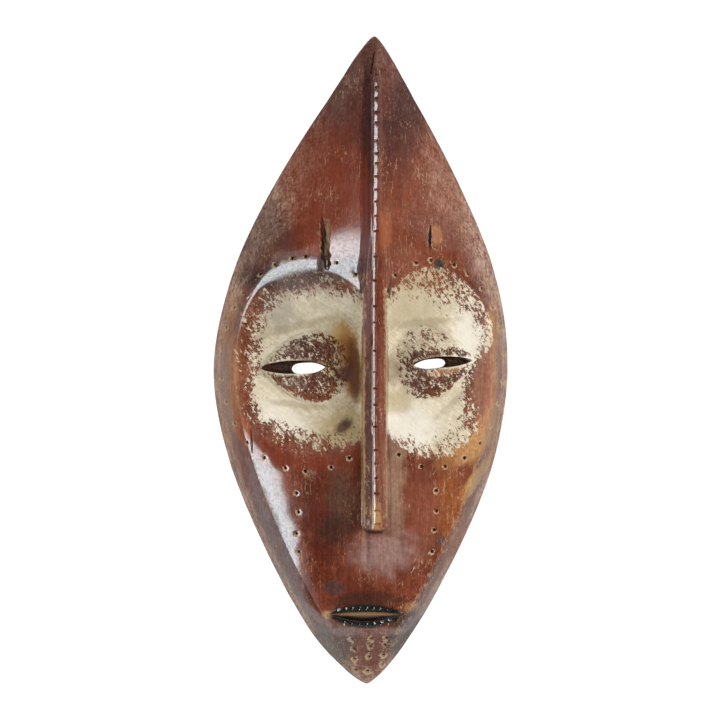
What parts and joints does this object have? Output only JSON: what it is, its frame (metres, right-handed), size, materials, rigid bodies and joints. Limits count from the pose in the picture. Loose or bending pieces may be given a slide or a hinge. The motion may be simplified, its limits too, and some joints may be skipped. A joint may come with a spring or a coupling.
{
  "type": "face mask",
  "caption": "Leaf-shaped carved wooden face mask, pointed above and below, with a notched ridge, sunken eye sockets, slit eyes, a small mouth and drilled dots.",
  "frame": {"origin": "middle of the mask's bounding box in plan, on the plane of its flat back rim", "axes": "+Z out of the face, away from the hollow back; +Y towards the top of the head; +X to a viewer's right"},
  "size_m": [0.1638, 0.36, 0.0752],
  "materials": {
    "wood": "satin, worn, with chalky pigment in the sockets"
  },
  "bodies": {
    "root": {"mask": "wood"}
  },
  "joints": []
}
